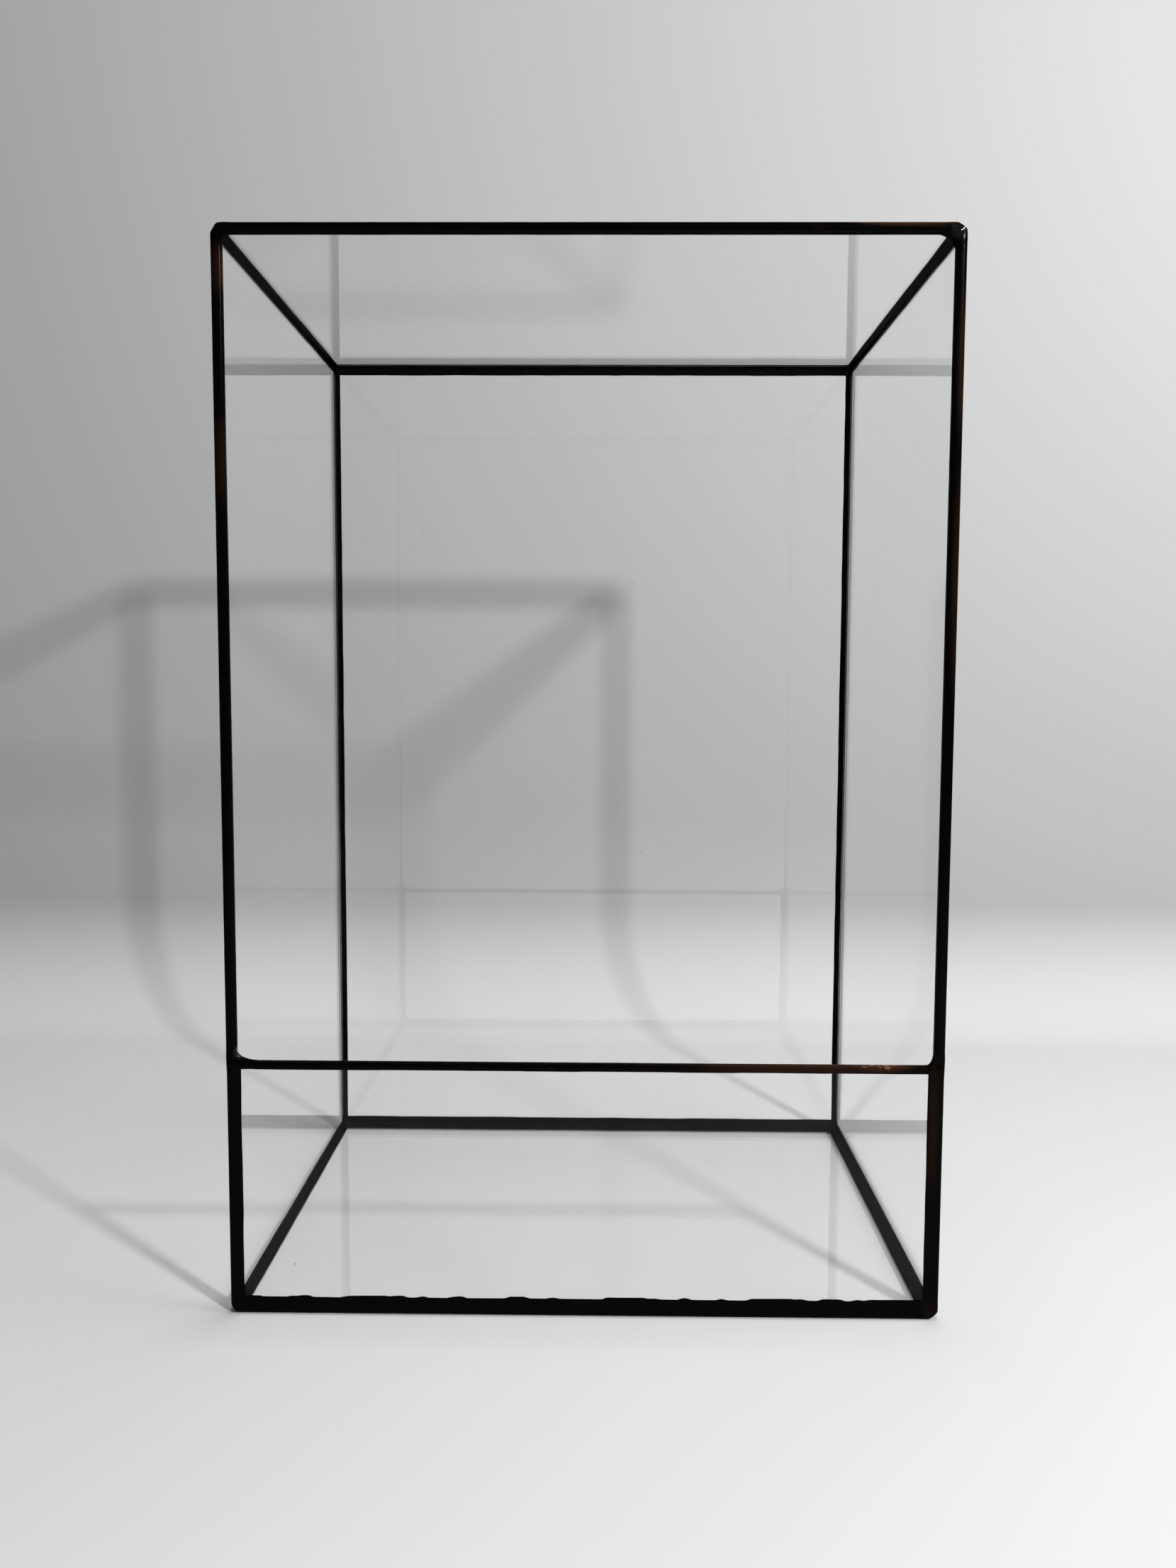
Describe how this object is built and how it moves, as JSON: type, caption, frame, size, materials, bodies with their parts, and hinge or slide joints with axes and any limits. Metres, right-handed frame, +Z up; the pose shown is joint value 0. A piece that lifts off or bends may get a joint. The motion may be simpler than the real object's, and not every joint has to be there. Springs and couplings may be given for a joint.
{
  "type": "glass terrarium",
  "caption": "Tall open-front glass terrarium or display box: flat panes joined at foiled edges by black-patinated solder, with a low sill pane that keeps soil or ornaments in.",
  "frame": {"origin": "centre of the footprint, on the plane that the box stands on", "axes": "+Z up, the open front faces -Y, +X to the right of someone who looks in through the front"},
  "size_m": [0.2, 0.15, 0.3],
  "materials": {
    "clear_glass": "clear float glass, polished, 2 mm",
    "copper_foil": null,
    "patinated_solder": null
  },
  "bodies": {
    "root": {"base_glass": "clear_glass", "back_glass": "clear_glass", "left_glass": "clear_glass", "right_glass": "clear_glass", "top_glass": "clear_glass", "sill_glass": "clear_glass", "base_foil": "copper_foil", "back_foil": "copper_foil", "left_foil": "copper_foil", "right_foil": "copper_foil", "top_foil": "copper_foil", "sill_foil": "copper_foil", "bottom_front_seam": "patinated_solder", "bottom_back_seam": "patinated_solder", "bottom_left_seam": "patinated_solder", "bottom_right_seam": "patinated_solder", "top_back_seam": "patinated_solder", "top_left_seam": "patinated_solder", "top_right_seam": "patinated_solder", "back_left_seam": "patinated_solder", "back_right_seam": "patinated_solder", "sill_left_seam": "patinated_solder", "sill_right_seam": "patinated_solder", "front_left_bead": "patinated_solder", "front_right_bead": "patinated_solder", "top_front_bead": "patinated_solder", "sill_rim_bead": "patinated_solder", "bottom_front_left_corner": "patinated_solder", "bottom_front_right_corner": "patinated_solder", "bottom_back_left_corner": "patinated_solder", "bottom_back_right_corner": "patinated_solder", "top_front_left_corner": "patinated_solder", "top_front_right_corner": "patinated_solder", "top_back_left_corner": "patinated_solder", "top_back_right_corner": "patinated_solder", "sill_left_joint": "patinated_solder", "sill_right_joint": "patinated_solder"}
  },
  "joints": []
}
